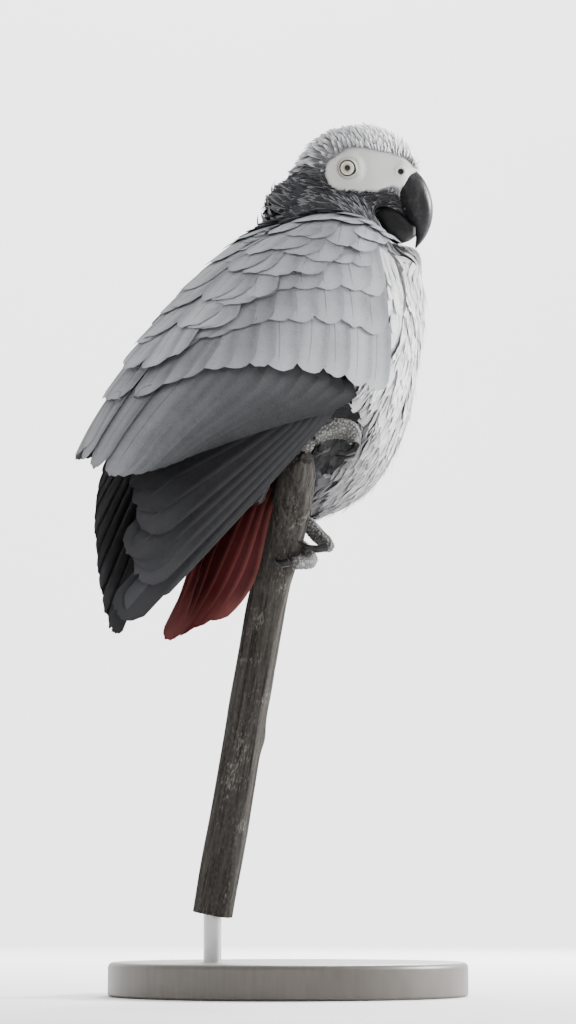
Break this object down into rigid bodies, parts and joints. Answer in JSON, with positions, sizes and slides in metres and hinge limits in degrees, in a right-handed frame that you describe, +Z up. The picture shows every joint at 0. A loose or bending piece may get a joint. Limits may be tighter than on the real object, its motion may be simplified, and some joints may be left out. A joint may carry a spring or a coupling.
{
  "type": "grey parrot model",
  "caption": "Life-size museum-type model of a grey parrot with a foot drawn up, looking to its right from an upright cut stick held over a flat round base by a short rod.",
  "frame": {"origin": "centre of the display base's underside", "axes": "+Z up; +X the way the bird's body faces; +Y to the bird's left"},
  "size_m": [0.2033, 0.16, 0.4027],
  "materials": {
    "body_feather": "matte contour feathers, pale edges",
    "wing_feather": "matte grey vanes",
    "dark_feather": "matte blackish vanes",
    "tail_feather": "matte deep dark red vanes",
    "horn": "black horn, satin",
    "scaly_skin": "grey scaly skin",
    "eye": "pale straw iris, small pupil, clear cornea",
    "wood": "weathered, cracked stick",
    "board": "dark satin lacquer",
    "rod": "brushed"
  },
  "bodies": {
    "root": {"bill_lower": "horn", "bill_upper": "horn", "claw_left_back_inner": "horn", "claw_left_back_outer": "horn", "claw_left_front_inner": "horn", "claw_left_front_outer": "horn", "claw_right_back_inner": "horn", "claw_right_back_outer": "horn", "claw_right_front_inner": "horn", "claw_right_front_outer": "horn", "eye_left": "eye", "eye_right": "eye", "head": "body_feather", "leg_left": "scaly_skin", "leg_right": "scaly_skin", "neck": "body_feather", "perch": "wood", "stand_base": "board", "stand_rod": "rod", "tail": "tail_feather", "toe_left_back_inner": "scaly_skin", "toe_left_back_outer": "scaly_skin", "toe_left_front_inner": "scaly_skin", "toe_left_front_outer": "scaly_skin", "toe_right_back_inner": "scaly_skin", "toe_right_back_outer": "scaly_skin", "toe_right_front_inner": "scaly_skin", "toe_right_front_outer": "scaly_skin", "trunk": "body_feather", "wing_left_coverts": "wing_feather", "wing_left_primaries": "dark_feather", "wing_left_secondaries": "wing_feather", "wing_right_coverts": "wing_feather", "wing_right_primaries": "dark_feather", "wing_right_secondaries": "wing_feather"}
  },
  "joints": []
}
